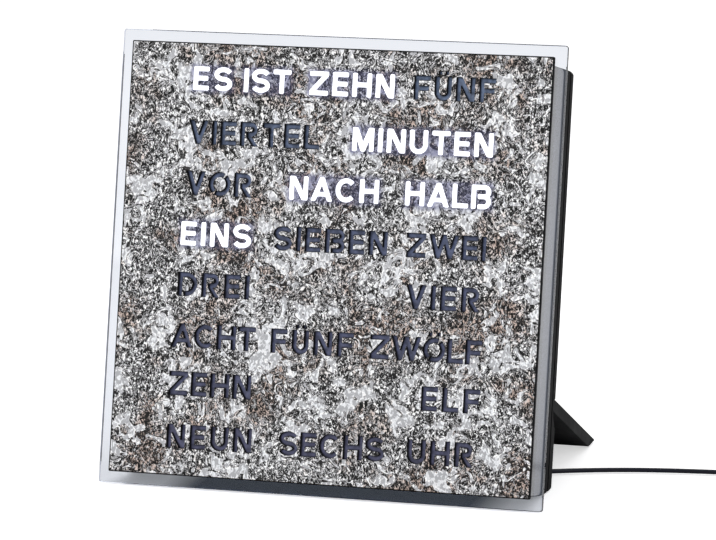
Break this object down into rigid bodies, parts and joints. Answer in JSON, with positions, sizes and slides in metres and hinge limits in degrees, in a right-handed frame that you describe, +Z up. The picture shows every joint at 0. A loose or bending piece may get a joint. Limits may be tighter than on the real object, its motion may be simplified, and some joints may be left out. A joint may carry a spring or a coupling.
{
  "type": "word clock",
  "caption": "Square word clock: a glass plate with a stone-look panel of cut words lit from behind, leaning on a hinged rear stand, with a coiled low-voltage lead and power supply.",
  "frame": {"origin": "on the table, under the middle of the standing clock's box without its lead", "axes": "+X right as the reader sees it, +Y to the back, +Z up"},
  "size_m": [0.3696, 0.1544, 0.2252],
  "materials": {
    "glass": "clear polished, green edges",
    "stone_panel": "stone-look laminate, fine speckle",
    "housing_black": "fine moulded texture",
    "flap_black": "fine moulded texture",
    "foam": "closed-cell foam tape",
    "milky": "milky diffusing sheet",
    "grid_black": "matt black",
    "board_green": "solder-resist coated board",
    "lamp_white": "moulded lamp package",
    "chip_black": "moulded chip package",
    "steel": "zinc plated",
    "nickel": "nickel plated",
    "button_grey": "satin",
    "rubber_black": "soft rubber",
    "cord_black": "smooth vinyl sheath",
    "plug_black": "moulded vinyl",
    "adapter_black": "fine moulded texture",
    "ribbon_grey": "ribbon cable",
    "washer_white": "acetal"
  },
  "bodies": {
    "clock": {"glass_plate": "glass", "word_panel": "stone_panel", "foam_tape": "foam", "diffuser_sheet": "milky", "light_grid": "grid_black", "led_board": "board_green", "leds": "lamp_white", "driver_chips": "chip_black", "board_screws": "steel", "front_housing": "housing_black", "rear_cover": "housing_black", "cover_screws": "steel", "control_board": "board_green", "control_chips": "chip_black", "tact_switches": "chip_black", "dc_jack": "chip_black", "coin_cell": "nickel", "battery_holder": "chip_black", "battery_contact": "nickel", "ribbon_connectors": "chip_black", "ribbon_cable": "ribbon_grey", "plug_barrel": "nickel", "dc_plug": "plug_black", "plug_relief": "plug_black", "cord_lead": "cord_black", "cord_coil": "cord_black", "cord_tail": "cord_black", "adapter_relief": "plug_black", "adapter_body": "adapter_black", "adapter_pins": "nickel"},
    "stand": {"stand_flap": "flap_black", "hinge_pins": "steel", "friction_washers": "washer_white", "foot_pads": "rubber_black"},
    "hour_button": {"hour_button": "button_grey"},
    "minute_button": {"minute_button": "button_grey"},
    "colour_button": {"colour_button": "button_grey"},
    "battery_door": {"battery_door": "housing_black"}
  },
  "joints": [
    {"name": "stand_hinge", "type": "hinge", "parent": "clock", "child": "stand", "pos_m": [0, -0.01454, 0.03892], "axis": [1, 0, 0], "range_deg": [0, 101.9]},
    {"name": "hour_press", "type": "slide", "parent": "clock", "child": "hour_button", "axis": [0, -0.9769, 0.2137], "range_m": [0, 0.0005], "stiffness_N_per_m": 1500},
    {"name": "minute_press", "type": "slide", "parent": "clock", "child": "minute_button", "axis": [0, -0.9769, 0.2137], "range_m": [0, 0.0005], "stiffness_N_per_m": 1500},
    {"name": "colour_press", "type": "slide", "parent": "clock", "child": "colour_button", "axis": [0, -0.9769, 0.2137], "range_m": [0, 0.0005], "stiffness_N_per_m": 1500},
    {"name": "battery_door_slide", "type": "slide", "parent": "clock", "child": "battery_door", "axis": [-1, 0, 0], "range_m": [0, 0.036]}
  ]
}
